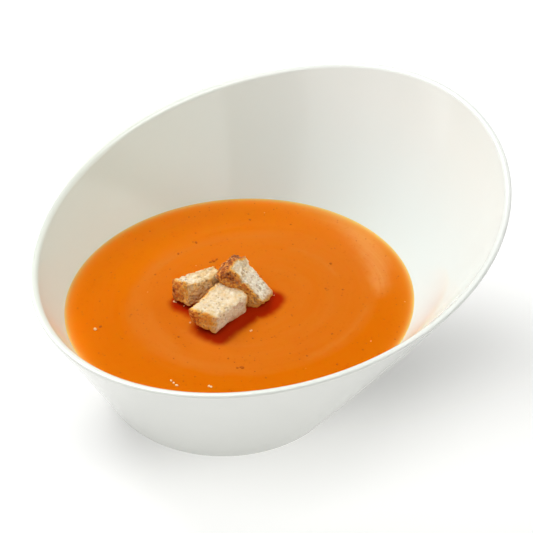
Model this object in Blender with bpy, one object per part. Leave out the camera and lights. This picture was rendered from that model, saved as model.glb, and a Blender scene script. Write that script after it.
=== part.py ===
"""Tomato soup in a porcelain bowl with a slanted rim, topped with three croutons.

The bowl is symmetric about the XZ plane. Its rim is low at -X and high at +X, and it stands on
z = 0. Every level section of the body is an ellipse whose centre moves towards +X with height.
The origin is the bottom centre of the bowl's box, so the foot's centre lies a little to -X.
Lengths are in metres.
"""

import math

import bmesh
import bpy
from mathutils import Euler, Matrix, Vector

MM = 0.001

# The body's outer level sections at three heights: height, centre's offset from the foot's
# centre, half length along X, half width along Y. A parabola joins each column.
FOOT_SECTION = (0.0 * MM, 0.0 * MM, 57.5 * MM, 57.5 * MM)
LOWER_SECTION = (34.5 * MM, 7.0 * MM, 81.3 * MM, 75.1 * MM)
UPPER_SECTION = (69.0 * MM, 9.6 * MM, 101.5 * MM, 95.5 * MM)

# The rim's height above the table, against the distance along X from the foot's centre.
RIM_MIDDLE = 82.1 * MM
RIM_REACH = 115.0 * MM
RIM_RISE = 22.4 * MM
RIM_UPSWEEP = 5.0 * MM

# The wall's thickness, measured level, thins from the foot to the highest point of the rim.
WALL_AT_FOOT = 4.9 * MM
WALL_AT_TOP = 3.0 * MM
TOP_HEIGHT = 115.0 * MM

FLOOR_HEIGHT = 7.0 * MM
FLOOR_FILLET = 11.0 * MM
FOOT_EDGE_RADIUS = 1.0 * MM
FOOT_RING_WIDTH = 5.5 * MM
RECESS_DEPTH = 2.0 * MM
RECESS_SLOPE = 2.5 * MM

SOUP_LEVEL = 41.9 * MM
SOUP_WALL_GAP = 0.6 * MM
CLEARANCE = 0.3 * MM

SEGMENTS = 80
WALL_STEPS = 11
LIP_STEPS = 6
FILLET_STEPS = 4
SOUP_WALL_STEPS = 4

CROUTON_EDGE = 1.2 * MM
CROUTON_EDGE_STEPS = 2


def section(height):
    """Centre offset, half length and half width of the outer wall at a height."""
    low, mid, high = FOOT_SECTION, LOWER_SECTION, UPPER_SECTION
    weights = (
        (height - mid[0]) * (height - high[0]) / ((low[0] - mid[0]) * (low[0] - high[0])),
        (height - low[0]) * (height - high[0]) / ((mid[0] - low[0]) * (mid[0] - high[0])),
        (height - low[0]) * (height - mid[0]) / ((high[0] - low[0]) * (high[0] - mid[0])),
    )
    return tuple(
        sum(w * station[k] for w, station in zip(weights, (low, mid, high))) for k in (1, 2, 3)
    )


def wall_thickness(height):
    return WALL_AT_FOOT + (WALL_AT_TOP - WALL_AT_FOOT) * height / TOP_HEIGHT


def rim_height(angle):
    """Height of the rim's crest in one direction, found where the wall meets the slanted cut."""
    height = RIM_MIDDLE
    for _ in range(60):
        centre, half_length, _ = section(height)
        reach = (centre + half_length * math.cos(angle)) / RIM_REACH
        crest = RIM_MIDDLE + RIM_RISE * reach + RIM_UPSWEEP * reach**3
        height = 0.5 * (height + crest)
    return height


ANGLES = [2 * math.pi * i / SEGMENTS for i in range(SEGMENTS)]
RIM_HEIGHTS = [rim_height(angle) for angle in ANGLES]


def wall_point(angle, height, inset, shrink=1.0, section_height=None):
    """A point at a level inset from the outer wall, measured from the foot's centre.

    It is scaled towards its section's centre by shrink, and a section height lets the point keep
    the section of another height.
    """
    centre, half_length, half_width = section(height if section_height is None else section_height)
    return Vector(
        (
            centre + shrink * (half_length - inset) * math.cos(angle),
            shrink * (half_width - inset) * math.sin(angle),
            height,
        )
    )


def lip_point(angle, crest, turn):
    """A point on the rounded lip, from turn 0 at the outer wall to pi at the inner wall."""
    radius = wall_thickness(crest) / 2
    height = crest - radius + radius * math.sin(turn)
    return wall_point(angle, height, radius * (1 - math.cos(turn)))


LIP_TURNS = [math.pi * i / LIP_STEPS for i in range(LIP_STEPS + 1)]
HIGH_END = max(lip_point(0.0, RIM_HEIGHTS[0], turn).x for turn in LIP_TURNS)
LOW_END = min(lip_point(math.pi, RIM_HEIGHTS[SEGMENTS // 2], turn).x for turn in LIP_TURNS)
FOOT_X = -0.5 * (HIGH_END + LOW_END)
FOOT_CENTRE = Vector((FOOT_X, 0.0, 0.0))


def level_ring(height, inset, shrink=1.0, section_height=None):
    return [wall_point(angle, height, inset, shrink, section_height) for angle in ANGLES]


def slanted_ring(share, base, inset_at):
    """A ring at the same share of the way from a base height to the rim all round."""
    ring = []
    for angle, crest in zip(ANGLES, RIM_HEIGHTS):
        top = crest - wall_thickness(crest) / 2
        height = base + share * (top - base)
        ring.append(wall_point(angle, height, inset_at(height)))
    return ring


def lip_ring(turn):
    return [lip_point(angle, crest, turn) for angle, crest in zip(ANGLES, RIM_HEIGHTS)]


def fillet_rings(floor, radius, wall_inset):
    """Rings that turn from the inner wall into a level floor."""
    rings = []
    for i in range(1, FILLET_STEPS + 1):
        turn = 0.5 * math.pi * i / FILLET_STEPS
        height = floor + radius * (1 - math.sin(turn))
        inset = wall_inset(height) + radius * (1 - math.cos(turn))
        rings.append(level_ring(height, inset))
    return rings


def loft(name, rings, material):
    """A closed body through rings about the foot's centre, from its lowest middle to its highest."""
    mesh = bmesh.new()
    loops = [[mesh.verts.new(FOOT_CENTRE + point) for point in ring] for ring in rings]
    for lower, upper in zip(loops, loops[1:]):
        for i in range(SEGMENTS):
            j = (i + 1) % SEGMENTS
            mesh.faces.new((lower[i], lower[j], upper[j], upper[i]))
    for loop in (loops[0], loops[-1]):
        middle = mesh.verts.new(sum((v.co for v in loop), Vector()) / SEGMENTS)
        for i in range(SEGMENTS):
            mesh.faces.new((loop[i], loop[(i + 1) % SEGMENTS], middle))
    bmesh.ops.recalc_face_normals(mesh, faces=mesh.faces)
    return finished(name, mesh, material)


def finished(name, mesh, material):
    data = bpy.data.meshes.new(name)
    mesh.to_mesh(data)
    mesh.free()
    data.shade_smooth()
    data.set_sharp_from_angle(angle=math.radians(40))
    data.materials.append(material)
    piece = bpy.data.objects.new(name, data)
    bpy.context.scene.collection.objects.link(piece)
    return piece


def plain_material(name, colour, roughness):
    material = bpy.data.materials.new(name)
    material.use_nodes = True
    shader = material.node_tree.nodes["Principled BSDF"]
    shader.inputs["Base Color"].default_value = (*colour, 1.0)
    shader.inputs["Roughness"].default_value = roughness
    shader.inputs["Metallic"].default_value = 0.0
    material.diffuse_color = (*colour, 1.0)
    return material


def make_bowl(material):
    ring_inner = FOOT_RING_WIDTH + FOOT_EDGE_RADIUS
    recess = ring_inner + RECESS_SLOPE
    rings = [
        level_ring(RECESS_DEPTH, recess, shrink=0.5, section_height=0.0),
        level_ring(RECESS_DEPTH, recess, section_height=0.0),
        level_ring(0.0, ring_inner),
        level_ring(0.0, FOOT_EDGE_RADIUS),
        level_ring(0.3 * FOOT_EDGE_RADIUS, 0.3 * FOOT_EDGE_RADIUS),
        level_ring(FOOT_EDGE_RADIUS, 0.0),
    ]
    for i in range(1, WALL_STEPS + 1):
        rings.append(slanted_ring(i / WALL_STEPS, FOOT_EDGE_RADIUS, lambda height: 0.0))
    rings += [lip_ring(turn) for turn in LIP_TURNS[1:-1]]
    fillet_top = FLOOR_HEIGHT + FLOOR_FILLET
    for i in range(WALL_STEPS, -1, -1):
        rings.append(slanted_ring(i / WALL_STEPS, fillet_top, wall_thickness))
    rings += fillet_rings(FLOOR_HEIGHT, FLOOR_FILLET, wall_thickness)
    rings.append(level_ring(FLOOR_HEIGHT, FLOOR_FILLET, shrink=0.5))
    return loft("bowl", rings, material)


def make_soup(material):
    """The soup fills the bowl to its level, a clearance away from the wall and the floor."""

    def inset(height):
        return wall_thickness(height) + SOUP_WALL_GAP

    floor = FLOOR_HEIGHT + CLEARANCE
    fillet_top = floor + FLOOR_FILLET
    rings = [level_ring(floor, FLOOR_FILLET, shrink=0.5)]
    rings += reversed(fillet_rings(floor, FLOOR_FILLET, inset))
    for i in range(SOUP_WALL_STEPS + 1):
        height = fillet_top + (SOUP_LEVEL - fillet_top) * i / SOUP_WALL_STEPS
        rings.append(level_ring(height, inset(height)))
    rings.append(level_ring(SOUP_LEVEL, inset(SOUP_LEVEL), shrink=0.6))
    return loft("soup", rings, material)


class Crouton:
    """A rough block of bread. Its size is along its own X, Y and Z at its middle."""

    def __init__(self, name, size, place, turn, skew, widening, heightening):
        self.name = name
        self.size = Vector(size) * MM
        self.place = Vector(place) * MM
        self.turn = Euler([math.radians(angle) for angle in turn], "XYZ")
        self.skew = skew
        self.widening = widening
        self.heightening = heightening

    def block(self, name, material, margin=0.0):
        """The block, or with a margin the room that it needs."""
        mesh = bmesh.new()
        bmesh.ops.create_cube(mesh, size=1.0)
        size = self.size + Vector((2 * margin,) * 3)
        for vert in mesh.verts:
            x, y, z = vert.co
            vert.co = Vector(
                (
                    x * (1 + self.skew * y) * size.x,
                    y * (1 + self.widening * x) * size.y,
                    z * (1 + self.heightening * x) * size.z,
                )
            )
        bmesh.ops.bevel(
            mesh,
            geom=mesh.edges[:],
            offset=CROUTON_EDGE,
            segments=CROUTON_EDGE_STEPS,
            profile=0.5,
            affect="EDGES",
        )
        middle = self.place + FOOT_CENTRE + Vector((0.0, 0.0, SOUP_LEVEL))
        mesh.transform(Matrix.Translation(middle) @ self.turn.to_matrix().to_4x4())
        return finished(name, mesh, material)


# Places are from the foot's centre along X and Y, and from the soup's level along Z.
CROUTONS = (
    Crouton("crouton_front", (23.5, 15.1, 9.5), (-6.6, -7.9, 4.9), (0, 6, 35), 0.08, 0.13, 0.14),
    Crouton("crouton_left", (21.4, 10.4, 10.5), (-8.3, 10.1, 4.8), (-12, 7, 14), 0.22, 0.0, 0.0),
    Crouton("crouton_back", (23.5, 15.2, 8.4), (12.0, 3.2, 5.9), (-19, 36, -53), 0.14, -0.3, -0.2),
)


def cut_round(soup, crouton, material):
    """Leaves a hollow in the soup for a crouton, with a clearance all round it."""
    cutter = crouton.block("room_for_" + crouton.name, material, margin=CLEARANCE)
    cutter.hide_render = True
    cutter.display_type = "WIRE"
    cut = soup.modifiers.new("room for " + crouton.name, "BOOLEAN")
    cut.operation = "DIFFERENCE"
    cut.solver = "EXACT"
    cut.object = cutter


def main():
    for old in list(bpy.data.objects):
        bpy.data.objects.remove(old)
    porcelain = plain_material("porcelain", (0.86, 0.86, 0.83), 0.12)
    tomato = plain_material("tomato_soup", (0.80, 0.19, 0.012), 0.25)
    toast = plain_material("toasted_bread", (0.78, 0.58, 0.33), 0.85)
    make_bowl(porcelain)
    soup = make_soup(tomato)
    for crouton in CROUTONS:
        crouton.block(crouton.name, toast)
        cut_round(soup, crouton, tomato)


main()
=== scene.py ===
"""Looks of a bowl of tomato soup: slanted white porcelain, orange soup and three croutons.

Lengths are in metres. Shapes that follow a rule are grown by Geometry Nodes and kept as plain
meshes. The bowl is symmetric about the XZ plane, with the low side of its rim towards -X.
"""

import functools
import math

import bpy
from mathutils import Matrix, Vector


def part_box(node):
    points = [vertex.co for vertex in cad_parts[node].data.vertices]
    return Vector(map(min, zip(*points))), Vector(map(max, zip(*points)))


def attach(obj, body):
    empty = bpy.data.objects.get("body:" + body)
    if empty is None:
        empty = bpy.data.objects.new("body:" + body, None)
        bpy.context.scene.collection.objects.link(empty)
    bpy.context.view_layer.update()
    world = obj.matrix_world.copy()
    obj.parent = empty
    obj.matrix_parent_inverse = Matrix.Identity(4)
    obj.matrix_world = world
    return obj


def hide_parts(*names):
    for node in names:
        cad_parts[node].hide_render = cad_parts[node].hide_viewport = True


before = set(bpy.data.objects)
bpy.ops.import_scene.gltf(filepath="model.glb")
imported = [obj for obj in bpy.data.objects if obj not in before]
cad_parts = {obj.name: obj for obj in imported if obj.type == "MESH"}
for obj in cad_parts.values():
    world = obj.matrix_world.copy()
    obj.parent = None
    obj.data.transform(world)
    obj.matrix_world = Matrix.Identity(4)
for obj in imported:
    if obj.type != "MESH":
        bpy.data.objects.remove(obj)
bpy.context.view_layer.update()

MM = 0.001
TURN = 2 * math.pi

SOUP_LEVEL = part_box("soup")[1].z
FOOT_X = -20.35 * MM
SOUP_MIDDLE = Vector((FOOT_X + 7.93 * MM, 0.0, SOUP_LEVEL))


# ---- fields and trees


def put(tree, target, value):
    """Links a field to a socket, or sets the socket's own value."""
    if isinstance(value, Field):
        tree.links.new(value.socket, target)
    else:
        target.default_value = value


def add_socket(tree, label, kind, way="INPUT"):
    """Adds a named input or output to a node group."""
    tree.interface.new_socket(label, in_out=way, socket_type="NodeSocket" + kind)


def add_node(tree, kind, inputs=(), result=0, **settings):
    """Adds a node with its settings and inputs, and gives one of its outputs as a field."""
    node = tree.nodes.new(kind)
    for label, value in settings.items():
        setattr(node, label, value)
    for label, value in dict(inputs).items():
        put(tree, node.inputs[label], value)
    return Field(tree, node.outputs[result])


class Field:
    """A value in a node tree. Arithmetic on fields adds the Math nodes for it."""

    def __init__(self, tree, socket):
        self.tree = tree
        self.socket = socket

    def math(self, operation, *others, first=None):
        """A Math node on this field and the others, or on first and this field."""
        inputs = dict(enumerate((self, *others) if first is None else (first, self)))
        return add_node(self.tree, "ShaderNodeMath", inputs, operation=operation)

    def vector(self, operation, *others, result="Vector"):
        """A Vector Math node on this field and the others."""
        inputs = dict(enumerate((self, *others)))
        return add_node(self.tree, "ShaderNodeVectorMath", inputs, result, operation=operation)

    def scaled(self, factor):
        inputs = {0: self, "Scale": factor}
        return add_node(self.tree, "ShaderNodeVectorMath", inputs, operation="SCALE")

    def split(self):
        """The three numbers of a vector."""
        node = self.tree.nodes.new("ShaderNodeSeparateXYZ")
        put(self.tree, node.inputs[0], self)
        return [Field(self.tree, output) for output in node.outputs]

    def fade(self, start, end, low=0.0, high=1.0):
        """low up to start and high from end on, with a smooth step between them."""
        ends = {"Value": self, "From Min": start, "From Max": end, "To Min": low, "To Max": high}
        kind = "ShaderNodeMapRange"
        return add_node(self.tree, kind, ends, "Result", interpolation_type="SMOOTHSTEP")

    def clamped(self):
        return add_node(self.tree, "ShaderNodeClamp", {"Value": self})

    def decay(self, reach=1.0):
        """1 at nothing, falling away over about reach."""
        return (self * -1.0 / reach).math("EXPONENT")

    def __add__(self, other):
        return self.math("ADD", other)

    def __sub__(self, other):
        return self.math("SUBTRACT", other)

    def __mul__(self, other):
        return self.math("MULTIPLY", other)

    def __truediv__(self, other):
        return self.math("DIVIDE", other)

    def __rsub__(self, other):
        return self.math("SUBTRACT", first=other)

    def __rtruediv__(self, other):
        return self.math("DIVIDE", first=other)

    __radd__ = __add__
    __rmul__ = __mul__


def merged(operation, fields):
    """All of the fields, joined one after the other by one Math operation."""
    return functools.reduce(lambda whole, field: whole.math(operation, field), fields)


def combine(x, y, z):
    """The vector of three numbers, at least one of which is a field."""
    tree = next(value.tree for value in (x, y, z) if isinstance(value, Field))
    return add_node(tree, "ShaderNodeCombineXYZ", {"X": x, "Y": y, "Z": z})


def noise(vector, size, detail=2.0, roughness=0.5, result="Fac"):
    """Soft random values about 0.5, whose largest features are about size across."""
    inputs = {"Vector": vector, "Scale": 1.0 / size, "Detail": detail, "Roughness": roughness}
    return add_node(vector.tree, "ShaderNodeTexNoise", inputs, result)


def jitter(vector, size, detail=2.0, roughness=0.5):
    """Soft random vectors about nothing, up to about half a unit each way."""
    return noise(vector, size, detail, roughness, "Color").vector("SUBTRACT", (0.5, 0.5, 0.5))


def cells(vector, size):
    """Distance to the nearest cell's middle, from 0 to about 1, for cells of a size."""
    inputs = {"Vector": vector, "Scale": 1.0 / size}
    return add_node(vector.tree, "ShaderNodeTexVoronoi", inputs, "Distance")


class Recipe:
    """A Geometry Nodes tree with named inputs, which ends in plain faces with a material."""

    def __init__(self, name):
        self.tree = bpy.data.node_groups.new(name, "GeometryNodeTree")
        add_socket(self.tree, "Geometry", "Geometry")
        add_socket(self.tree, "Geometry", "Geometry", "OUTPUT")

    def size(self, label, kind="Float"):
        """A named input, which the modifier sets."""
        add_socket(self.tree, label, kind)
        return self.add("NodeGroupInput", result=label)

    def sizes(self, labels, kind="Float"):
        return {label: self.size(label, kind) for label in labels}

    def add(self, kind, inputs=(), result=0, **settings):
        return add_node(self.tree, kind, inputs, result, **settings)

    def position(self):
        return self.add("GeometryNodeInputPosition")

    def named(self, label):
        return self.add("GeometryNodeInputNamedAttribute", {"Name": label}, data_type="FLOAT")

    def marked(self, geometry, label, value):
        """The geometry with a value kept on its points under a name."""
        inputs = {"Geometry": geometry, "Name": label, "Value": value}
        return self.add("GeometryNodeStoreNamedAttribute", inputs, data_type="FLOAT")

    def moved(self, geometry, place):
        return self.add("GeometryNodeSetPosition", {"Geometry": geometry, "Position": place})

    def pushed(self, geometry, offset):
        return self.add("GeometryNodeSetPosition", {"Geometry": geometry, "Offset": offset})

    def joined(self, parts):
        node = self.tree.nodes.new("GeometryNodeJoinGeometry")
        for part in reversed(parts):
            put(self.tree, node.inputs[0], part)
        return Field(self.tree, node.outputs[0])

    def random(self, low, high, seed, kind="FLOAT"):
        """A random number or vector for each point or instance."""
        node = self.tree.nodes.new("FunctionNodeRandomValue")
        node.data_type = kind
        wanted = {"Min": low, "Max": high, "Seed": seed}
        for socket in node.inputs:
            if socket.enabled and socket.name in wanted:
                put(self.tree, socket, wanted[socket.name])
        output = next(socket for socket in node.outputs if socket.enabled)
        return Field(self.tree, output)

    def passed(self, count, start, step):
        """A number sent through the same step count times."""
        first = self.tree.nodes.new("GeometryNodeRepeatInput")
        last = self.tree.nodes.new("GeometryNodeRepeatOutput")
        first.pair_with_output(last)
        last.repeat_items.clear()
        last.repeat_items.new("FLOAT", "Number")
        first.inputs["Iterations"].default_value = count
        put(self.tree, first.inputs["Number"], start)
        put(self.tree, last.inputs["Number"], step(Field(self.tree, first.outputs["Number"])))
        return Field(self.tree, last.outputs["Number"])

    def close(self, geometry):
        """Ends the tree: one real mesh, smooth, with the material that the modifier gives."""
        material = self.size("Material", "Material")
        geometry = self.add("GeometryNodeRealizeInstances", {"Geometry": geometry})
        geometry = self.add("GeometryNodeSetShadeSmooth", {"Geometry": geometry})
        inputs = {"Geometry": geometry, "Material": material}
        geometry = self.add("GeometryNodeSetMaterial", inputs)
        put(self.tree, self.tree.nodes.new("NodeGroupOutput").inputs[0], geometry)

    def grow(self, name, sizes, material, start=None):
        """Runs the tree and keeps its result as a plain mesh object at the origin."""
        holder = bpy.data.objects.new(name, start or bpy.data.meshes.new(name))
        bpy.context.scene.collection.objects.link(holder)
        modifier = holder.modifiers.new("shape", "NODES")
        modifier.node_group = self.tree
        labels = {
            item.name: item.identifier
            for item in self.tree.interface.items_tree
            if item.item_type == "SOCKET" and item.in_out == "INPUT"
        }
        for label, value in {**sizes, "Material": material}.items():
            modifier[labels[label]] = value
        graph = bpy.context.evaluated_depsgraph_get()
        grown = bpy.data.meshes.new_from_object(
            holder.evaluated_get(graph), preserve_all_data_layers=True, depsgraph=graph
        )
        holder.modifiers.clear()
        holder.data = grown
        grown.name = name
        return holder


# ---- finishes

# Where a Mix node that mixes colours takes its factor and its colours, and gives its result.
MIX_INPUTS = (0, 6, 7)
MIX_RESULT = 2


class Finish:
    """A material with one Principled shader. Constants go straight on the shader's sockets."""

    def __init__(self, name, **constants):
        self.material = bpy.data.materials.new(name)
        self.material.use_nodes = True
        self.tree = self.material.node_tree
        self.shader = self.tree.nodes["Principled BSDF"]
        for label, value in constants.items():
            self.shader.inputs[label.replace("_", " ")].default_value = value

    def feed(self, label, value):
        put(self.tree, self.shader.inputs[label], value)

    def place(self):
        """Where a point lies on the finished piece, in metres."""
        return add_node(self.tree, "ShaderNodeTexCoord", result="Object")

    def mark(self, label):
        """A value that the piece's tree kept on its points."""
        return add_node(self.tree, "ShaderNodeAttribute", result="Fac", attribute_name=label)

    def ramp(self, value, stops):
        """A colour for a value from 0 to 1, between stops of place and linear colour, from 0."""
        node = self.tree.nodes.new("ShaderNodeValToRGB")
        elements = node.color_ramp.elements
        elements.remove(elements[1])
        for place, color in stops:
            stop = elements[0] if place == 0.0 else elements.new(place)
            stop.color = (*color, 1.0)
        put(self.tree, node.inputs["Fac"], value)
        return Field(self.tree, node.outputs["Color"])

    def mixed(self, share, first, second):
        """A colour or field between first, at share 0, and second, at share 1."""
        first, second = (
            color if isinstance(color, Field) else (*color, 1.0) for color in (first, second)
        )
        inputs = dict(zip(MIX_INPUTS, (share, first, second)))
        return add_node(self.tree, "ShaderNodeMix", inputs, MIX_RESULT, data_type="RGBA")

    def relief(self, height, depth):
        """Feeds the normal with fine relief whose height of 1 is depth."""
        inputs = {"Strength": 1.0, "Distance": depth, "Height": height}
        self.feed("Normal", add_node(self.tree, "ShaderNodeBump", inputs))


def mottle_group():
    """Shared uneven tone: two sizes of soft noise about 0, from -1 to 1."""
    group = bpy.data.node_groups.new("uneven tone", "ShaderNodeTree")
    add_socket(group, "Place", "Vector")
    for label, way in (("Coarse", "INPUT"), ("Fine", "INPUT"), ("Tone", "OUTPUT")):
        add_socket(group, label, "Float", way)
    place = add_node(group, "NodeGroupInput", result="Place")
    layers = []
    for label, share in (("Coarse", 2.4), ("Fine", 1.6)):
        size = add_node(group, "NodeGroupInput", result=label)
        layers.append((noise(place.scaled(1.0 / size), 1.0) - 0.5) * share)
    put(group, group.nodes.new("NodeGroupOutput").inputs["Tone"], merged("ADD", layers))
    return group


UNEVEN_TONE = mottle_group()


def uneven(finish, place, coarse, fine):
    """The shared uneven tone at a coarse and a fine size."""
    inputs = {"Place": place, "Coarse": coarse, "Fine": fine}
    return add_node(finish.tree, "ShaderNodeGroup", inputs, node_tree=UNEVEN_TONE)


# ---- bowl

FOOT_RADIUS = 57.5 * MM
# Height, centre's offset from the foot's centre, half length and half width of two sections.
LOWER_SECTION = (34.5 * MM, 7.0 * MM, 81.3 * MM, 75.1 * MM)
UPPER_SECTION = (69.0 * MM, 9.6 * MM, 101.5 * MM, 95.5 * MM)
TOP_HEIGHT = 115.0 * MM
WALL_AT_FOOT = 4.9 * MM
WALL_AT_TOP = 3.0 * MM
BOWL_COLUMNS = 240
SOUP_COLUMNS = 300
WELD_REACH = 0.002 * MM
# How often the slanted cut's height is found again from the wall's reach at that height.
CREST_PASSES = 12


def parabola(at_foot, at_lower, at_upper):
    """Slope at the foot and curve of the parabola through three evenly spaced stations."""
    step = LOWER_SECTION[0]
    curve = (at_upper - 2 * at_lower + at_foot) / (2 * step * step)
    return (at_lower - at_foot) / step - curve * step, curve


def wall_sizes():
    """The named sizes that the bowl and the soup share."""
    sizes = {
        "Foot X": FOOT_X,
        "Foot Radius": FOOT_RADIUS,
        "Wall At Foot": WALL_AT_FOOT,
        "Wall Thinning": (WALL_AT_FOOT - WALL_AT_TOP) / TOP_HEIGHT,
        "Floor Height": 7.0 * MM,
        "Floor Fillet": 11.0 * MM,
    }
    at_foot = {"Offset": 0.0, "Length": FOOT_RADIUS, "Width": FOOT_RADIUS}
    for column, (label, start) in enumerate(at_foot.items(), 1):
        slope, curve = parabola(start, LOWER_SECTION[column], UPPER_SECTION[column])
        sizes[label + " Slope"], sizes[label + " Curve"] = slope, curve
    return sizes


WALL_SIZES = wall_sizes()
RIM_SIZES = {
    "Rim Middle": 82.1 * MM,
    "Rim Rise": 22.4 * MM,
    "Rim Upsweep": 5.0 * MM,
    "Rim Reach": 115.0 * MM,
}
FOOT_SIZES = {
    "Foot Edge": 1.0 * MM,
    "Foot Ring": 5.5 * MM,
    "Recess Depth": 2.0 * MM,
    "Recess Slope": 2.5 * MM,
}


class BowlRule:
    """The wall's shape on a unit sheet: the turn round the bowl along X, a share along Y."""

    def __init__(self, recipe, columns):
        self.recipe = recipe
        self.columns = columns
        self.sizes = recipe.sizes(WALL_SIZES)
        across, along, _ = recipe.position().split()
        angle = (across + 0.5) * TURN
        self.share = along + 0.5
        self.cosine = angle.math("COSINE")
        self.sine = angle.math("SINE")

    def section(self, height):
        """Centre's offset, half length and half width of the outer wall at a height."""
        found = []
        for label in ("Offset", "Length", "Width"):
            slope, curve = self.sizes[label + " Slope"], self.sizes[label + " Curve"]
            grown = (height * curve + slope) * height
            found.append(grown if label == "Offset" else grown + self.sizes["Foot Radius"])
        return found

    def wall(self, height):
        """The wall's thickness at a height, measured level."""
        return self.sizes["Wall At Foot"] - height * self.sizes["Wall Thinning"]

    def point(self, height, inset, shrink=1.0, section_at=None):
        """A point at a height, inset from the wall's outside and drawn towards its centre.

        The wall's outside is taken at section_at, where that differs from the height.
        """
        at = height if section_at is None else section_at
        centre, half_length, half_width = self.section(at)
        x = (half_length - inset) * self.cosine * shrink + centre + self.sizes["Foot X"]
        y = (half_width - inset) * self.sine * shrink
        return combine(x, y, height)

    def strip(self, rows, place, marks=()):
        """A sheet of faces round the bowl, with named values kept on its points."""
        counts = {"Vertices X": self.columns + 1, "Vertices Y": rows + 1}
        sheet = self.recipe.add("GeometryNodeMeshGrid", {"Size X": 1.0, "Size Y": 1.0, **counts})
        for label, value in dict(marks).items():
            sheet = self.recipe.marked(sheet, label, value)
        return self.recipe.moved(sheet, place)

    def welded(self, strips):
        """The strips as one closed skin."""
        skin = {"Geometry": self.recipe.joined(strips), "Distance": WELD_REACH}
        return self.recipe.add("GeometryNodeMergeByDistance", skin)


def bowl_recipe():
    """The porcelain from the middle of its underside, up the outside and down the inside."""
    recipe = Recipe("slanted bowl")
    rule = BowlRule(recipe, BOWL_COLUMNS)
    rim = recipe.sizes(RIM_SIZES)
    foot = recipe.sizes(FOOT_SIZES)
    share = rule.share
    quarter = share * (math.pi / 2)

    def slanted_cut(height):
        """Height of the slanted cut over the point where the wall reaches a height."""
        centre, half_length, _ = rule.section(height)
        reach = (half_length * rule.cosine + centre) / rim["Rim Reach"]
        return rim["Rim Middle"] + (rim["Rim Rise"] + rim["Rim Upsweep"] * reach * reach) * reach

    crest = recipe.passed(CREST_PASSES, rim["Rim Middle"], slanted_cut)
    lip_radius = rule.wall(crest) * 0.5
    wall_top = crest - lip_radius

    edge = foot["Foot Edge"]
    ground = 0.0
    ring_inner = foot["Foot Ring"] + edge
    recess = ring_inner + foot["Recess Slope"]
    recess_slope = recess - foot["Recess Slope"] * share
    recess_height = foot["Recess Depth"] * (1.0 - share)
    edge_height = edge * (1.0 - quarter.math("COSINE"))
    edge_inset = edge * (1.0 - quarter.math("SINE"))
    underside = [
        rule.strip(6, rule.point(foot["Recess Depth"], recess, share, ground)),
        rule.strip(2, rule.point(recess_height, recess_slope, 1.0, ground)),
        rule.strip(2, rule.point(ground, ring_inner - foot["Foot Ring"] * share)),
        rule.strip(4, rule.point(edge_height, edge_inset)),
    ]

    half_turn = share * math.pi
    lip_height = wall_top + lip_radius * half_turn.math("SINE")
    lip_inset = lip_radius * (1.0 - half_turn.math("COSINE"))
    fillet = rule.sizes["Floor Fillet"]
    floor_height = rule.sizes["Floor Height"]
    fillet_top = floor_height + fillet
    inner_height = wall_top + (fillet_top - wall_top) * share
    fillet_height = fillet_top - fillet * quarter.math("SINE")
    fillet_inset = rule.wall(fillet_height) + fillet * (1.0 - quarter.math("COSINE"))
    floor_inset = rule.wall(floor_height) + fillet
    inside = {"inside": 1.0}
    walls = [
        rule.strip(40, rule.point(edge + (wall_top - edge) * share, 0.0)),
        rule.strip(12, rule.point(lip_height, lip_inset), {"inside": share}),
        rule.strip(40, rule.point(inner_height, rule.wall(inner_height)), inside),
        rule.strip(10, rule.point(fillet_height, fillet_inset)),
        rule.strip(8, rule.point(floor_height, floor_inset, 1.0 - share)),
    ]
    recipe.close(rule.welded(underside + walls))
    return recipe


# The glaze's linear colours outside, and inside from the soup up to the rim. The inside ones are
# painted
# light: tinted against the soup's orange bounce and reflection, one pair for the shaded low side,
# one for the sunny high side.
OUTER_GLAZE = ((0.745, 0.755, 0.716), (0.775, 0.785, 0.750))
LOW_SIDE_PAINTED_GLAZE = ((0.788, 0.850, 0.748), (0.788, 0.810, 0.704))
HIGH_SIDE_PAINTED_GLAZE = ((0.706, 0.796, 0.784), (0.826, 0.856, 0.812))


def porcelain():
    """White glazed porcelain: duller inside at both ends over the soup, its inside colour painted
    light.
    """
    finish = Finish("white glazed porcelain", IOR=1.5, Coat_Roughness=0.03)
    place = finish.place()
    x, _, height = place.split()
    tone = uneven(finish, place, 45 * MM, 6 * MM)
    outer = finish.mixed((tone * 0.25 + 0.5).clamped(), *OUTER_GLAZE)
    upper = height.fade(SOUP_LEVEL, SOUP_LEVEL + 62 * MM)
    low_side_painted = finish.mixed(upper, *LOW_SIDE_PAINTED_GLAZE)
    high_side_painted = finish.mixed(upper, *HIGH_SIDE_PAINTED_GLAZE)
    inner = finish.mixed(x.fade(-50 * MM, 90 * MM), low_side_painted, high_side_painted)
    inside = finish.mark("inside")
    finish.feed("Base Color", finish.mixed(inside, outer, inner))
    between_ends = x.fade(-70 * MM, -45 * MM) * x.fade(35 * MM, 60 * MM, 1.0, 0.0)
    over_soup = height.fade(SOUP_LEVEL + 4 * MM, SOUP_LEVEL + 46 * MM, 0.85, 0.0)
    gloss = 1.0 - inside * over_soup * (1.0 - between_ends)
    finish.feed("Specular IOR Level", gloss * 0.5)
    finish.feed("Coat Weight", gloss * 0.25)
    finish.feed("Roughness", tone * 0.02 + 0.12)
    finish.relief(noise(place, 9 * MM, 1.0), 0.012 * MM)
    return finish.material


# ---- croutons

# How a cut block differs from a plain one: leaning and slanting ends, growth along its length,
# bulging ends, and how deep the crust's browning goes.
PLAIN_FORMS = {
    "Skew": 0.0,
    "Slant": 0.0,
    "Widening": 0.0,
    "Heightening": 0.0,
    "Start Bulge": 0.0,
    "End Bulge": 0.0,
    "Crust Depth": 1.5 * MM,
}
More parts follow.
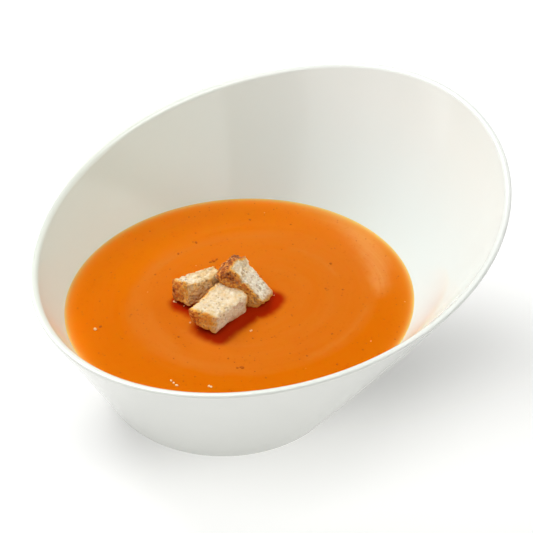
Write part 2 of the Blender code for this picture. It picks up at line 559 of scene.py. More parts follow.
# Sizes and places in millimetres, places from the foot's centre and the soup's level, turns in
# degrees. Worn corners are given by their side on each axis, with how far each is pushed.
# Browning runs from 0, bare crumb, to 1, dark crust: each side has its tone, and how much that
# drifts along the block's X on the sides facing Y or Z, and along its Y on the other ones.
# These tones are partly painted light: tops that catch the light are set a little darker, and
# faces in shade a little lighter.
CROUTONS = {
    "front": {
        "Size": (24.1, 15.5, 9.9),
        "Place": (-5.6, -7.3, 4.7),
        "Turn": (0, 6, 35),
        "Worn": (((-1, 1, -1), (1.5, 0.3, 1.3)), ((1, -1, 1), (0.0, 0.0, 0.0))),
        "Forms": {
            "Skew": 0.14,
            "Slant": -1.9 * MM,
            "Widening": 0.23,
            "Heightening": 0.14,
            "End Bulge": 2.3 * MM,
            "Crust Depth": 1.9 * MM,
        },
        "Toast And Light": {
            "-X": (0.50, 0.40),
            "+X": (0.64, 0.30),
            "-Y": (0.11, 0.0),
            "+Y": (0.52, 0.0),
            "+Z": (0.15, 0.0),
            "Edge": (0.22, 0.40),
        },
        "Pores": {"Pore Size": 2.0 * MM, "Pore Depth": 0.6 * MM, "Pore Cover": 0.30},
    },
    "left": {
        "Size": (21.8, 10.8, 10.9),
        "Place": (-8.3, 10.1, 4.8),
        "Turn": (-12, 7, 14),
        "Worn": (((-1, -1, 1), (0.0, 1.2, 0.6)), ((1, -1, 1), (0.5, 3.2, 1.0))),
        "Forms": {"Skew": 0.22, "Crust Depth": 1.6 * MM},
        "Toast And Light": {
            "-X": (0.54, 0.38),
            "+X": (0.66, 0.0),
            "-Y": (0.27, -0.02),
            "+Y": (0.30, 0.0),
            "+Z": (0.17, 0.15),
            "Edge": (0.36, 0.0),
        },
        "Pores": {"Pore Size": 1.8 * MM, "Pore Depth": 0.7 * MM, "Pore Cover": 0.44},
    },
    "back": {
        "Size": (24.6, 15.6, 8.8),
        "Place": (12.1, 3.5, 6.0),
        "Turn": (-19, 36, -53),
        "Worn": (((-1, 1, 1), (3.0, -1.2, 0.0)), ((-1, 1, -1), (0.0, 3.6, 1.6))),
        "Forms": {
            "Skew": 0.14,
            "Widening": -0.50,
            "Heightening": -0.2,
            "Start Bulge": 2.2 * MM,
        },
        "Toast And Light": {
            "-X": (0.76, 0.0),
            "+X": (0.42, 0.0),
            "-Y": (0.52, -0.40),
            "+Y": (0.35, 0.0),
            "+Z": (0.07, -0.18),
            "Edge": (0.26, 0.0),
        },
        "Pores": {"Pore Size": 1.9 * MM, "Pore Depth": 0.6 * MM, "Pore Cover": 0.50},
    },
}
# What has a tone of its own. The underside has none.
SIDES = ("-X", "+X", "-Y", "+Y", "+Z", "Edge")
BREAD_WEAR = {
    "Step": 0.25 * MM,
    "Edge Radius": 1.5 * MM,
    "Lump Height": 0.65 * MM,
    "Knob Height": 0.75 * MM,
    "Corner Reach": 5.2 * MM,
}


def crouton_recipe():
    """A cut cube of bread: worn corners, lumps, torn pores, and marks for its browning, partly
    painted light.
    """
    recipe = Recipe("cut bread cube")
    size = recipe.size("Size", "Vector")
    place = recipe.size("Place", "Vector")
    turn = recipe.size("Turn", "Vector")
    forms = recipe.sizes(PLAIN_FORMS)
    worn_corners = recipe.sizes(("First Corner", "Second Corner"), "Vector")
    pushes = recipe.sizes(("First Push", "Second Push"), "Vector")
    wear = recipe.sizes((*BREAD_WEAR, "Pore Size", "Pore Depth", "Pore Cover", "Seed"))
    toast = recipe.sizes(["Toast " + side for side in SIDES])
    drift = recipe.sizes(["Drift " + side for side in SIDES])

    counts = size.scaled(1.0 / wear["Step"]).split()
    cube = {"Size": (1.0, 1.0, 1.0)}
    for axis, count in zip("XYZ", counts):
        cube["Vertices " + axis] = count
    block = recipe.add("GeometryNodeMeshCube", cube)

    unit = recipe.position()
    x, y, z = unit.split()
    length, width, height = size.split()
    seed = combine(wear["Seed"], 0.0, 0.0)
    flat = unit.vector("MULTIPLY", size)
    grain = flat.vector("ADD", seed)
    depths = {
        "-X": ((x + 0.5) * length, y),
        "+X": ((0.5 - x) * length, y),
        "-Y": ((y + 0.5) * width, x),
        "+Y": ((0.5 - y) * width, x),
        "+Z": ((0.5 - z) * height, x),
        "-Z": ((z + 0.5) * height, x),
    }
    nearness, tones = [], []
    for side, (depth, along) in depths.items():
        nearness.append(depth.decay(forms["Crust Depth"]))
        if side in SIDES:
            # Each side's tone is partly painted light: lit faces a little darker, shaded faces a
            # little lighter.
            tone = toast["Toast " + side] + drift["Drift " + side] * along
            tones.append(nearness[-1] * tone)
    edge = (merged("ADD", nearness) - 1.0).clamped()
    edge = edge * noise(grain, 5 * MM, 1.0).fade(0.35, 0.65, 0.3, 1.0)
    tones.append(edge * (toast["Toast Edge"] + drift["Drift Edge"] * y))
    browned = merged("MAXIMUM", tones)
    patches = (noise(grain, 3.0 * MM, 3.0, 0.6) - 0.5) * 0.7
    block = recipe.marked(block, "toast", (browned + patches * (browned + 0.2)).clamped())

    radius = wear["Edge Radius"] * noise(grain, 7 * MM, 1.0).fade(0.3, 0.7, 0.55, 1.45)
    half = size.scaled(0.5).vector("SUBTRACT", combine(radius, radius, radius))
    core = flat.vector("MINIMUM", half).vector("MAXIMUM", half.scaled(-1.0))
    worn = core.vector("ADD", flat.vector("SUBTRACT", core).vector("NORMALIZE").scaled(radius))
    x, y, z = worn.vector("DIVIDE", size).split()
    bulge = (x * 2.0).math("MAXIMUM", 0.0) * forms["End Bulge"]
    bulge = bulge + (x * 2.0).math("MINIMUM", 0.0) * (0.5 - z) * forms["Start Bulge"]
    bulge = bulge * (1.0 - y * y * 4.0) + y * forms["Slant"]
    formed = combine(
        x * (y * forms["Skew"] + 1.0) * length + bulge,
        y * (x * forms["Widening"] + 1.0) * width,
        z * (x * forms["Heightening"] + 1.0) * height,
    )
    for corner, push in zip(worn_corners.values(), pushes.values()):
        corner = size.vector("MULTIPLY", corner.scaled(0.5))
        gap = formed.vector("DISTANCE", corner, result="Value") / wear["Corner Reach"]
        formed = formed.vector("ADD", push.scaled((gap * gap).decay()))
    block = recipe.moved(block, formed)

    point = recipe.position().vector("ADD", seed)
    for feature, rough in (("Lump", (4.5 * MM, 1.0)), ("Knob", (1.8 * MM, 2.0))):
        shift = jitter(point, *rough).scaled(wear[feature + " Height"] * 2.0)
        block = recipe.pushed(block, shift)

    torn = point.vector("ADD", jitter(point, 1.6 * MM, 2.0, 0.6).scaled(1.5 * MM))
    pores = []
    for scale, strength in ((1.0, 1.0), (0.55, 0.7)):
        gap = cells(torn.scaled(1.0 / (wear["Pore Size"] * scale)), 1.0)
        found = gap.fade(wear["Pore Cover"] * 0.4, wear["Pore Cover"], 1.0, 0.0)
        pores.append(found * strength)
    fresh = noise(point, 4.5 * MM, 1.0).fade(0.38, 0.60, 0.25, 1.0)
    block = recipe.marked(block, "pore", merged("MAXIMUM", pores) * fresh)
    inward = recipe.named("pore") * wear["Pore Depth"] * -1.0
    block = recipe.pushed(block, recipe.add("GeometryNodeInputNormal").scaled(inward))

    turned = {"Vector": recipe.position(), "Rotation": turn}
    turned = recipe.add("ShaderNodeVectorRotate", turned, rotation_type="EULER_XYZ")
    block = recipe.moved(block, turned.vector("ADD", place))
    recipe.close(block)
    return recipe


# Linear colours from pale crumb to dark crust.
TOAST_RAMP = (
    (0.0, (0.86, 0.81, 0.68)),
    (0.20, (0.71, 0.535, 0.30)),
    (0.40, (0.78, 0.39, 0.065)),
    (0.60, (0.63, 0.19, 0.026)),
    (0.82, (0.32, 0.07, 0.010)),
    (1.0, (0.13, 0.02, 0.005)),
)
# Painted shade: the pushed-in pores darken to the first brown, and grit takes it too; the second
# is painted shade in small pits on browned crust.
PORE_SHADE_AND_GRIT_BROWN = (0.38, 0.23, 0.12)
PIT_SHADE_BROWN = (0.24, 0.07, 0.02)
SOUP_STAIN = (0.62, 0.22, 0.02)


def bread():
    """Toasted white bread by its browning, partly painted light, stained where it's in the soup,
    with painted shade in pores and pits.
    """
    finish = Finish(
        "toasted bread",
        Specular_IOR_Level=0.08,
        Subsurface_Weight=0.4,
        Subsurface_Radius=(1.0, 0.75, 0.5),
        Subsurface_Scale=1.5 * MM,
    )
    place = finish.place()
    tone = uneven(finish, place, 2.8 * MM, 1.1 * MM)
    pore = finish.mark("pore")
    toast = finish.mark("toast")
    browned = toast.fade(0.12, 0.45)
    freckles = (noise(place, 1.8 * MM, 2.0, 0.6) - 0.5) * toast.fade(0.20, 0.90) * 1.9
    toast = (toast + tone * 0.10 + freckles).clamped()
    color = finish.ramp(toast, TOAST_RAMP)
    grit = noise(place, 1.5 * MM, 3.0, 0.6).fade(0.34, 0.54, 0.26, 0.0)
    # Partly painted shade: pushed-in pores darkened as if shaded, with grit of the same brown.
    color = finish.mixed((grit + pore * 0.6).clamped(), color, PORE_SHADE_AND_GRIT_BROWN)
    # Painted shade: small dark pits on the browned crust, where pores look shaded.
    wander = noise(place, 1.5 * MM, 1.0, result="Color").scaled(1.2 * MM)
    painted_pit_shade = cells(place.vector("ADD", wander), 2.3 * MM).fade(0.14, 0.27, 0.8, 0.0) * browned
    color = finish.mixed(painted_pit_shade, color, PIT_SHADE_BROWN)
    _, _, height = place.split()
    soaked = (height + tone * 0.8 * MM).fade(SOUP_LEVEL, SOUP_LEVEL + 4.5 * MM, 0.55, 0.0)
    finish.feed("Base Color", finish.mixed(soaked, color, SOUP_STAIN))
    finish.feed("Roughness", 0.9 - toast * 0.35)
    finish.relief(noise(place, 0.9 * MM, 3.0, 0.6), 0.35 * MM)
    return finish.material


# ---- soup

SOUP_SIZES = {
    "Level": SOUP_LEVEL - 0.5 * MM,
    "Into Wall": 0.25 * MM,
    "Meniscus Rise": 0.6 * MM,
    "Meniscus Reach": 1.2 * MM,
    "Crouton Rise": 0.6 * MM,
    "Crouton Reach": 1.0 * MM,
    "Ripple": 0.12 * MM,
    "Ridge": 0.10 * MM,
}
# How far the painted shadow round the croutons lies from under them: towards +X and -Y, the front
# right, away from the key light.
PAINTED_SHADOW_SHIFT = (0.9 * MM, -3.3 * MM, 0.0)
# Rings of faces on the soup, and how much closer they lie near the wall.
SOUP_RINGS = 220
RING_CROWDING = 1.3

# The pale disc that stirring left: its middle from the soup's middle, and its half sizes.
SWIRL_X = 6.0 * MM
SWIRL_HALF_LENGTH = 60.0 * MM
SWIRL_HALF_WIDTH = 52.0 * MM
# How soft its raised edge is, how far from the wall the soup is still, and how many streaks of
# each kind cross it.
RIDGE_SOFTNESS = 0.04
CALM_REACH = 8 * MM
STREAKS = 9.0
FINE_STREAKS = 26.0

# Pale arcs round the swirl: direction of the arc's middle and half its span,
# in degrees, its reach from the swirl's middle and how that drifts along it, half width, strength,
# how the drift curls, how much wider its far end is, and how much softer its outside. The first,
# alone, is a painted reflection of the bright inner wall on the high side; the spoon drew the
# others.
WALL_REFLECTION_ARC = (22.0, 47.0, 1.155, 0.43, 0.115, 0.80, 0.27, 1.0, 1.5)
PALE_ARCS = (
    (185.0, 80.0, 0.93, 0.00, 0.070, 0.38),
    (-55.0, 30.0, 0.91, 0.00, 0.030, 0.45),
    (25.0, 28.0, 0.715, 0.00, 0.030, 0.50),
    (190.0, 24.0, 0.80, 0.03, 0.040, 0.30),
    (95.0, 45.0, 0.88, 0.02, 0.040, 0.20),
    (5.0, 55.0, 0.42, 0.03, 0.060, 0.20),
    (230.0, 40.0, 0.62, -0.04, 0.035, 0.20),
)


def swirl_place(place):
    """A place on the swirl, whose edge is the unit circle."""
    x, y, _ = place.split()
    x = (x - (SOUP_MIDDLE.x + SWIRL_X)) / SWIRL_HALF_LENGTH
    return combine(x, y / SWIRL_HALF_WIDTH, 0.0)


def swirl_reach(place):
    """0 at the swirl's middle and 1 at its edge."""
    return swirl_place(place).vector("LENGTH", result="Value")


def arc(
    place, middle, half_span, reach, drift, half_width, strength, curl=0.0, taper=0.0, outside=1.0
):
    """How much of a pale arc lies at a place."""
    toward = (math.cos(math.radians(middle)), math.sin(math.radians(middle)), 0.0)
    aside = (-toward[1], toward[0], 0.0)
    spot = swirl_place(place)
    way = spot.vector("NORMALIZE")
    facing = way.vector("DOT_PRODUCT", toward, result="Value")
    along = way.vector("DOT_PRODUCT", aside, result="Value")
    off = spot.vector("LENGTH", result="Value") - along * (along * curl + drift) - reach
    off = off / ((along * taper + 1.0) * half_width)
    off = off.math("MINIMUM", off / outside)
    end = math.cos(math.radians(half_span))
    return (off * off).decay() * facing.fade(end, (1.0 + end) / 2) * strength


def strands(place, rings):
    """Streaks drawn out round the swirl, from 0 to 1, with about so many across its radius."""
    x, y, _ = place.split()
    around = combine(x - (SOUP_MIDDLE.x + SWIRL_X), y, 0.0).vector("NORMALIZE").scaled(0.9)
    x, y, _ = around.split()
    return noise(combine(x, y, swirl_reach(place) * rings), 1.0, 3.0, 0.55)


def soup_recipe():
    """The soup as one body that reaches just into the wall and climbs what it wets."""
    recipe = Recipe("soup in the bowl")
    rule = BowlRule(recipe, SOUP_COLUMNS)
    size = recipe.sizes(SOUP_SIZES)
    share = rule.share
    into = size["Into Wall"]
    edge_height = size["Level"] + size["Meniscus Rise"]
    edge_inset = rule.wall(edge_height) - into

    shrink = 1.0 - share.math("POWER", RING_CROWDING)
    x, y, _ = rule.point(edge_height, edge_inset, shrink).split()
    still = combine(x, y, size["Level"])
    edge_x, edge_y, _ = rule.point(edge_height, edge_inset).split()
    to_wall = still.vector("DISTANCE", combine(edge_x, edge_y, size["Level"]), result="Value")
    height = size["Level"] + size["Meniscus Rise"] * to_wall.decay(size["Meniscus Reach"])

    croutons = recipe.sizes(["Crouton " + name for name in CROUTONS], "Object").values()
    blocks = [
        recipe.add("GeometryNodeObjectInfo", {"Object": crouton}, result="Geometry")
        for crouton in croutons
    ]

    def nearest_crouton(spot):
        """Distance from a spot to the nearest crouton."""
        inputs = [{"Geometry": block, "Sample Position": spot} for block in blocks]
        gaps = [recipe.add("GeometryNodeProximity", each, result="Distance") for each in inputs]
        return merged("MINIMUM", gaps)

    to_crouton = nearest_crouton(still)
    to_painted_shadow = nearest_crouton(still.vector("SUBTRACT", PAINTED_SHADOW_SHIFT))
    height = height + size["Crouton Rise"] * to_crouton.decay(size["Crouton Reach"])

    calm = to_wall.fade(0.0, CALM_REACH)
    ridge = (swirl_reach(still) - 1.0) / RIDGE_SOFTNESS
    ridge = size["Ridge"] * (ridge * ridge).decay()
    ripple = size["Ripple"] * (strands(still, STREAKS) + noise(still, 11 * MM, 1.0) - 1.0)
    height = height + (ridge + ripple) * calm
    # The distance kept as to_crouton makes a painted shadow: it reaches further on the croutons'
    # front right, less far on their other sides.
    marks = {"to_wall": to_wall, "to_crouton": to_painted_shadow.math("MINIMUM", to_crouton * 2.5)}

    fillet = rule.sizes["Floor Fillet"]
    fillet_top = rule.sizes["Floor Height"] + fillet
    quarter = share * (math.pi / 2)
    side_height = fillet_top + (edge_height - fillet_top) * share
    fillet_height = fillet_top - (fillet + into) * quarter.math("COSINE")
    fillet_inset = rule.wall(fillet_height) - into + fillet * (1.0 - quarter.math("SINE"))
    floor_height = rule.sizes["Floor Height"] - into
    floor_inset = rule.wall(floor_height) - into + fillet
    body = [
        rule.strip(4, rule.point(floor_height, floor_inset, share)),
        rule.strip(6, rule.point(fillet_height, fillet_inset)),
        rule.strip(8, rule.point(side_height, rule.wall(side_height) - into)),
        rule.strip(SOUP_RINGS, combine(x, y, height), marks),
    ]
    recipe.close(rule.welded(body))
    return recipe


def tomato_soup():
    """Thick creamy tomato soup: a paler stirred disc in a deeper orange and a thin pale edge, with
    painted shadow round the croutons, painted light at the back and a painted reflection.
    """
    finish = Finish(
        "creamy tomato soup",
        Roughness=0.22,
        IOR=1.33,
        Specular_IOR_Level=0.10,
        Subsurface_Weight=0.5,
        Subsurface_Radius=(1.0, 0.22, 0.05),
        Subsurface_Scale=4.0 * MM,
    )
    place = finish.place()
    streaks = strands(place, STREAKS)
    fine_streaks = strands(place, FINE_STREAKS)
    drawn = place.vector("ADD", jitter(place, 9 * MM).scaled(5 * MM))
    reach = swirl_reach(drawn) + (streaks - 0.5) * 0.12
    pale = reach.fade(0.90, 1.04, 0.42, 0.0) + (streaks - 0.5) * 0.9 + (fine_streaks - 0.5) * 0.5
    for pale_arc in PALE_ARCS:
        pale = pale + arc(drawn, *pale_arc)
    _, y, _ = place.split()
    # Painted light: the deeper orange is lighter towards the back, where less light reaches the
    # soup.
    deep = finish.mixed(y.fade(0.0, 60 * MM), (0.595, 0.131, 0.0009), (0.635, 0.148, 0.0009))
    color = finish.mixed(pale.clamped(), deep, (0.600, 0.160, 0.0140))
    # Painted reflection: a pale crescent where the bright inner wall on the high side would show
    # in the soup, streaked like the swirl.
    painted_reflection = arc(drawn, *WALL_REFLECTION_ARC) * fine_streaks.fade(0.2, 0.7, 0.6, 1.0)
    speckle = cells(place.vector("MULTIPLY", (1.0, 1.0, 0.0)), 2.2 * MM)
    grains = speckle.fade(0.12, 0.34, 1.0, 0.0) * noise(place, 7 * MM, 1.0).fade(0.45, 0.65)
    dull_patches = uneven(finish, place, 14 * MM, 2.0 * MM) * 0.10
    # Painted shadow: deep red round the croutons, deepest on their front right where their shadows
    # fall, with contact shade on their other sides.
    painted_crouton_shadow = finish.mark("to_crouton").fade(1.7 * MM, 5.9 * MM, 0.96, 0.0)
    to_wall = finish.mark("to_wall")
    # Painted light: a brighter band along the back and left edge, where the bowl's wall shades the
    # soup.
    back_left = swirl_place(place).vector("DOT_PRODUCT", (-0.55, 0.83, 0.0), result="Value")
    painted_light_back_left = to_wall.decay(5 * MM) * back_left.fade(0.15, 0.95)
    thin_edge = to_wall.decay(3.0 * MM) * 0.55
    film_on_wall = to_wall.decay(1.0 * MM) * 0.95
    layers = (
        (painted_reflection, (0.68, 0.270, 0.0640)),
        (grains * 0.22, (0.46, 0.075, 0.0008)),
        (dull_patches, (0.50, 0.09, 0.0010)),
        (painted_crouton_shadow, (0.33, 0.010, 0.0003)),
        (painted_light_back_left, (0.96, 0.190, 0.0015)),
        (thin_edge, (0.80, 0.29, 0.0100)),
        (film_on_wall, (0.96, 0.73, 0.28)),
    )
    for share, layer in layers:
        color = finish.mixed(share.clamped(), color, layer)
    finish.feed("Base Color", color)
    finish.relief(noise(place, 1.4 * MM, 2.0) * 0.6 + fine_streaks, 0.03 * MM)
    return finish.material


# ---- small things on the soup

# Places in millimetres from the soup's middle, with each bit's size.
HERB_FLECKS = (
    (24.3, 54.8, 1.4), (-5.8, 47.1, 1.5), (-16.5, 42.2, 1.3), (41.7, 44.4, 1.1),
    (49.1, 10.6, 1.4), (40.4, -5.4, 1.2), (47.8, -8.8, 1.2), (-31.4, 31.3, 1.1),
    (-50.3, 8.0, 1.0), (-34.4, -13.7, 1.2), (-2.9, -26.1, 1.1), (5.4, -28.4, 0.8),
    (31.9, -35.5, 1.2), (-14.3, -42.8, 2.0), (-16.0, -42.3, 1.3), (16.0, -45.4, 0.9),
    (26.7, -55.2, 1.1), (41.2, -50.2, 1.0), (-6.2, -52.6, 0.9), (-35.6, -41.3, 0.8),
    (9.3, -41.5, 0.8), (-41.0, -26.8, 0.9), (-18.0, -35.2, 1.0),
    # The last fleck here sits beside the first bubble as painted shade on that bubble's dark side.
    (-4.0, 31.0, 1.4), (-2.4, 31.4, 1.9), (-0.7, 31.9, 1.5), (-65.8, 5.0, 1.5),
)
CRUMBS = (
    (-28.9, 9.9, 1.2), (-28.3, 9.0, 0.8), (-25.5, 5.4, 0.8), (-26.5, -6.4, 0.8),
    (-2.4, -21.2, 0.8), (-1.7, -21.0, 0.8), (15.8, -1.6, 1.0),
)
PALE_SPECKS = (
    (-11.2, 30.9, 0.7), (32.8, 57.5, 0.7), (46.7, -46.2, 0.8), (71.7, -26.5, 0.8),
    (-38.4, 20.6, 0.6), (12.5, -53.0, 0.6),
)
BUBBLES = (
    (-68.6, 4.1, 1.7), (-46.4, -40.0, 1.1), (-45.8, -41.8, 1.1), (-45.0, -43.8, 1.3),
    (-31.7, -49.1, 1.3), (-31.0, -49.9, 1.1),
)


def scattered_on_soup(name, bits):
    """A holder's mesh with one point for each bit, at the soup's level."""
    mesh = bpy.data.meshes.new(name)
    middle = Vector((SOUP_MIDDLE.x, SOUP_MIDDLE.y, SOUP_SIZES["Level"]))
    points = [middle + Vector((x, y, 0.0)) * MM for x, y, _ in bits]
    mesh.from_pydata(points, [], [])
    width = mesh.attributes.new("width", "FLOAT", "POINT")
    width.data.foreach_set("value", [bit[2] * MM for bit in bits])
    return mesh


# What sets one kind of bit off from another.
BIT_FORMS = ("Flatness", "Roughness", "Lift")


def bit_recipe():
    """Small rough bits set on given points, each turned and squashed its own way."""
    recipe = Recipe("small bits")
    inputs = recipe.sizes(BIT_FORMS)
    ball = recipe.add("GeometryNodeMeshIcoSphere", {"Radius": 0.5, "Subdivisions": 3})
    spin = recipe.random((0.0, 0.0, 0.0), (0.35, 0.35, TURN), seed=3, kind="FLOAT_VECTOR")
    long = recipe.random(0.75, 1.25, seed=5)
    width = recipe.named("width")
    scale = combine(width * long, width / long, width * inputs["Flatness"])
    spots = recipe.add("NodeGroupInput", result="Geometry")
    given = {"Points": spots, "Instance": ball, "Rotation": spin, "Scale": scale}
    bits = recipe.add("GeometryNodeInstanceOnPoints", given)
    bits = recipe.add("GeometryNodeRealizeInstances", {"Geometry": bits})
    rough = jitter(recipe.position(), 0.8 * MM, 2.0, 0.6)
    bits = recipe.pushed(bits, rough.scaled(inputs["Roughness"]))
    bits = recipe.pushed(bits, combine(0.0, 0.0, inputs["Lift"]))
    recipe.close(bits)
    return recipe


# The area that the fine flecks cover, how many lie on a square metre, and their widths.
FINE_FLECK_SIZES = {
    "Half Length": 78 * MM,
    "Half Width": 73 * MM,
    "Spread": 30000.0,
    "Smallest": 0.2 * MM,
    "Largest": 0.7 * MM,
}


def fine_fleck_recipe():
    """Many tiny flecks strewn over the soup with a fixed seed."""
    recipe = Recipe("fine flecks")
    inputs = recipe.sizes(FINE_FLECK_SIZES)
    disc = recipe.add("GeometryNodeMeshCircle", {"Radius": 1.0}, fill_type="NGON")
    x, y, _ = recipe.position().split()
    x = x * inputs["Half Length"] + SOUP_MIDDLE.x
    disc = recipe.moved(disc, combine(x, y * inputs["Half Width"], SOUP_SIZES["Level"]))
    spread = {"Mesh": disc, "Density": inputs["Spread"], "Seed": 11}
    points = recipe.add("GeometryNodeDistributePointsOnFaces", spread)
    ball = recipe.add("GeometryNodeMeshIcoSphere", {"Radius": 0.5, "Subdivisions": 2})
    width = recipe.random(inputs["Smallest"], inputs["Largest"], seed=7)
    long = recipe.random(0.7, 1.5, seed=8)
    spin = recipe.random((0.0, 0.0, 0.0), (0.2, 0.2, TURN), seed=9, kind="FLOAT_VECTOR")
    scale = combine(width * long, width, width * 0.35)
    given = {"Points": points, "Instance": ball, "Rotation": spin, "Scale": scale}
    recipe.close(recipe.add("GeometryNodeInstanceOnPoints", given))
    return recipe


def speck_finish(name, darker, lighter, **constants):
    """Small bits of one kind, each of a slightly different tone."""
    finish = Finish(name, **constants)
    tone = uneven(finish, finish.place(), 3.0 * MM, 0.6 * MM)
    finish.feed("Base Color", finish.mixed((tone * 0.5 + 0.5).clamped(), darker, lighter))
    return finish.material


# ---- making the pieces

bread_finish = bread()
bowl_sizes = {**WALL_SIZES, **RIM_SIZES, **FOOT_SIZES}
bowl = bowl_recipe().grow("porcelain_bowl", bowl_sizes, porcelain())
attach(bowl, "root")
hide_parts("bowl")

croutons = {}
cube_recipe = crouton_recipe()
for number, (name, cut) in enumerate(CROUTONS.items()):
    sizes = {
        "Size": Vector(cut["Size"]) * MM,
        "Place": Vector(cut["Place"]) * MM + Vector((FOOT_X, 0.0, SOUP_LEVEL)),
        "Turn": [math.radians(angle) for angle in cut["Turn"]],
        "Seed": 0.05 * (number + 1),
        **PLAIN_FORMS,
        **cut["Forms"],
        **cut["Pores"],
        **BREAD_WEAR,
    }
    for which, (corner, push) in zip(("First", "Second"), cut["Worn"]):
        sizes[which + " Corner"], sizes[which + " Push"] = Vector(corner), Vector(push) * MM
    for side, (tone, drift) in cut["Toast And Light"].items():
        sizes["Toast " + side], sizes["Drift " + side] = tone, drift
    crouton = cube_recipe.grow("toasted_crouton_" + name, sizes, bread_finish)
    croutons["Crouton " + name] = crouton

soup_sizes = {**WALL_SIZES, **SOUP_SIZES, **croutons}
soup = soup_recipe().grow("tomato_soup", soup_sizes, tomato_soup())
for name in CROUTONS:
    crouton = croutons["Crouton " + name]
    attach(crouton, "root")
    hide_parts("crouton_" + name)
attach(soup, "root")
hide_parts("soup")

bits = bit_recipe()
herb_tones = (0.36, 0.065, 0.0010), (0.48, 0.100, 0.0015)
herb = speck_finish("soaked herb", *herb_tones, Roughness=0.5, Specular_IOR_Level=0.05)
soaked_crumb = speck_finish("soaked crumb", (0.76, 0.36, 0.12), (0.84, 0.56, 0.30), Roughness=0.8)
pulp = speck_finish("pale pulp", (0.66, 0.19, 0.010), (0.74, 0.25, 0.030), Roughness=0.4)
# Painted highlight: the bubbles' base colour is pale, so they show as whitish glints.
glint_tones = (0.80, 0.42, 0.14), (0.90, 0.66, 0.36)
bubble_painted_glint = speck_finish("soup bubble", *glint_tones, Roughness=0.05, Coat_Weight=1.0)
# Each kind's places, its flatness, roughness and lift, its finish and its slot.
BIT_KINDS = {
    "herb_flecks": (HERB_FLECKS, (0.3, 0.5 * MM, 0.0), herb, "tomato_soup"),
    "toast_crumbs": (CRUMBS, (0.7, 0.9 * MM, 0.1 * MM), soaked_crumb, "toasted_bread"),
    "pulp_specks": (PALE_SPECKS, (0.3, 0.3 * MM, 0.0), pulp, "tomato_soup"),
    "soup_bubbles": (BUBBLES, (0.8, 0.0, 0.05 * MM), bubble_painted_glint, "tomato_soup"),
}
small_things = {}
for name, (spots, forms, finish, slot) in BIT_KINDS.items():
    sizes = dict(zip(BIT_FORMS, forms))
    piece = bits.grow(name, sizes, finish, scattered_on_soup(name, spots))
    small_things[piece] = slot
fine_flecks = fine_fleck_recipe().grow("fine_flecks", FINE_FLECK_SIZES, herb)
small_things[fine_flecks] = "tomato_soup"
for piece, slot in small_things.items():
    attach(piece, "root")


# ---- floor, light and camera

TABLE_HALF_SIDE = 3.0
TABLE_GLOW = 0.50
# Painted shadow and painted light: where that glow is dimmer, as the bowl's shadow, or brighter: a
# place and its half widths along X and Y in millimetres, and by how much.
FLOOR_SHADES = (
    (-11.0, -26.0, 113.0, 29.0, -0.30),
    (-29.0, -35.0, 60.0, 46.0, 0.19),
    (-126.0, -24.0, 22.0, 24.0, 0.10),
    (100.0, -118.0, 83.0, 50.0, 0.13),
)


def floor_piece():
    """A plain white table top under the bowl, which glows a little, with painted shadow and light
    in that glow.
    """
    mesh = bpy.data.meshes.new("floor")
    corners = [Vector((x, y, 0)) for x, y in ((-1, -1), (1, -1), (1, 1), (-1, 1))]
    mesh.from_pydata([corner * TABLE_HALF_SIDE for corner in corners], [], [(0, 1, 2, 3)])
    finish = Finish("white light table", Roughness=0.9, Specular_IOR_Level=0.0)
    place = finish.place()
    x, y, _ = place.split()
    glow_with_painted_shade = TABLE_GLOW
    for middle_x, middle_y, reach_x, reach_y, change in FLOOR_SHADES:
        off_x = (x - middle_x * MM) / (reach_x * MM)
        off_y = (y - middle_y * MM) / (reach_y * MM)
        glow_with_painted_shade = (off_x * off_x + off_y * off_y).decay() * change + glow_with_painted_shade
    tone = uneven(finish, place, 0.6, 0.1)
    color = finish.mixed((tone * 0.1 + 0.5).clamped(), (0.50, 0.50, 0.50), (0.51, 0.51, 0.51))
    finish.feed("Base Color", color)
    finish.feed("Emission Strength", glow_with_painted_shade)
    finish.feed("Emission Color", (1.0, 1.0, 0.965, 1.0))
    mesh.materials.append(finish.material)
    floor = bpy.data.objects.new("floor", mesh)
    bpy.context.scene.collection.objects.link(floor)


def square_light(name, azimuth, elevation, distance, side, power):
    """A soft square aimed at the soup. Azimuth is counted from +X towards +Y, in degrees."""
    light = bpy.data.lights.new(name, "AREA")
    light.size = side
    light.energy = power
    turned, raised = math.radians(azimuth), math.radians(elevation)
    level = math.cos(raised)
    outward = Vector((math.cos(turned) * level, math.sin(turned) * level, math.sin(raised)))
    lamp = bpy.data.objects.new(name, light)
    bpy.context.scene.collection.objects.link(lamp)
    lamp.location = Vector((0.0, 0.0, SOUP_LEVEL)) + outward * distance
    lamp.rotation_euler = outward.to_track_quat("Z", "Y").to_euler()
    lamp.visible_camera = False


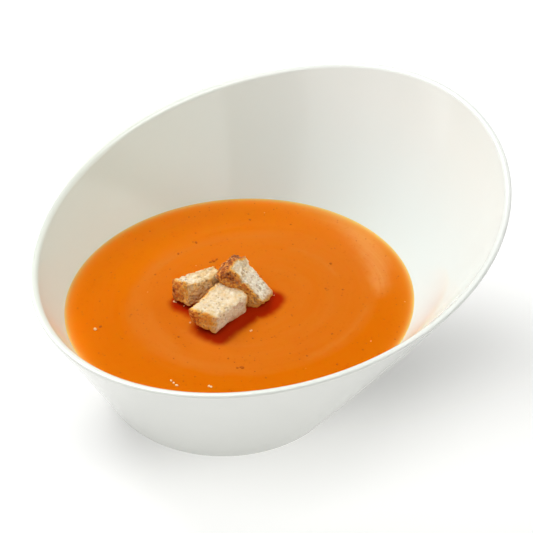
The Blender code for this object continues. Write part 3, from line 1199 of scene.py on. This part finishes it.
# Bright panels far round the bowl: first and last azimuth, lowest and highest elevation, all in
# degrees, and brightness. Then how soft their edges are, in degrees.
STUDIO_PANELS = (
    (-180.0, -137.0, -10.0, 22.0, 0.85),
    (-137.0, -99.0, -10.0, 22.0, 0.25),
    (-99.0, -39.0, -10.0, 22.0, 0.14),
    (-180.0, -137.0, 22.0, 36.0, 0.75),
    (-98.0, -39.0, 22.0, 36.0, 0.92),
    (-39.0, 50.0, 22.0, 45.0, 1.55),
    (120.0, 180.0, 22.0, 45.0, 1.20),
    (150.0, 180.0, -10.0, 22.0, 0.64),
    (-180.0, -120.0, 45.0, 65.0, 1.5),
    (-180.0, 0.0, 65.0, 95.0, 4.6),
)
AZIMUTH_SOFTNESS = 1.5
ELEVATION_SOFTNESS = 3.0


def within(value, start, end, softness):
    """1 from start to end and 0 beyond them, with a soft step at each."""
    risen = value.fade(start - softness, start + softness)
    return risen * value.fade(end - softness, end + softness, 1.0, 0.0)


def studio():
    """A dark room with bright panels on its open side. The camera sees plain white."""
    world = bpy.data.worlds.new("soft studio")
    bpy.context.scene.world = world
    world.use_nodes = True
    tree = world.node_tree
    x, y, z = add_node(tree, "ShaderNodeTexCoord", result="Generated").split()
    azimuth = y.math("ARCTAN2", x) * (360.0 / TURN)
    elevation = z.math("ARCSINE") * (360.0 / TURN)
    panels = []
    for left, right, bottom, top, brightness in STUDIO_PANELS:
        across = within(azimuth, left, right, AZIMUTH_SOFTNESS)
        panels.append(across * within(elevation, bottom, top, ELEVATION_SOFTNESS) * brightness)
    seen = add_node(tree, "ShaderNodeLightPath", result="Is Camera Ray")
    background = tree.nodes["Background"].inputs
    put(tree, background["Color"], (1.0, 1.0, 1.0, 1.0))
    put(tree, background["Strength"], merged("ADD", panels).math("MAXIMUM", seen))


CAMERA_LENS = 136.53
CAMERA_PLACE = Vector((-0.2401, -0.6656, 0.6609))
CAMERA_AIM = Vector((-0.0018, -0.0067, 0.0647))


def camera_in_front():
    """The camera, which looks down at the bowl from its front and a little from its low side."""
    data = bpy.data.cameras.new("camera")
    data.lens = CAMERA_LENS
    data.sensor_width = 36.0
    camera = bpy.data.objects.new("camera", data)
    bpy.context.scene.collection.objects.link(camera)
    camera.location = CAMERA_PLACE
    camera.rotation_euler = (CAMERA_AIM - CAMERA_PLACE).to_track_quat("-Z", "Y").to_euler()
    bpy.context.scene.camera = camera


floor_piece()
square_light("key_light", azimuth=116.0, elevation=46.0, distance=1.5, side=0.6, power=16.0)
studio()
camera_in_front()
bpy.context.scene.view_settings.view_transform = "Standard"
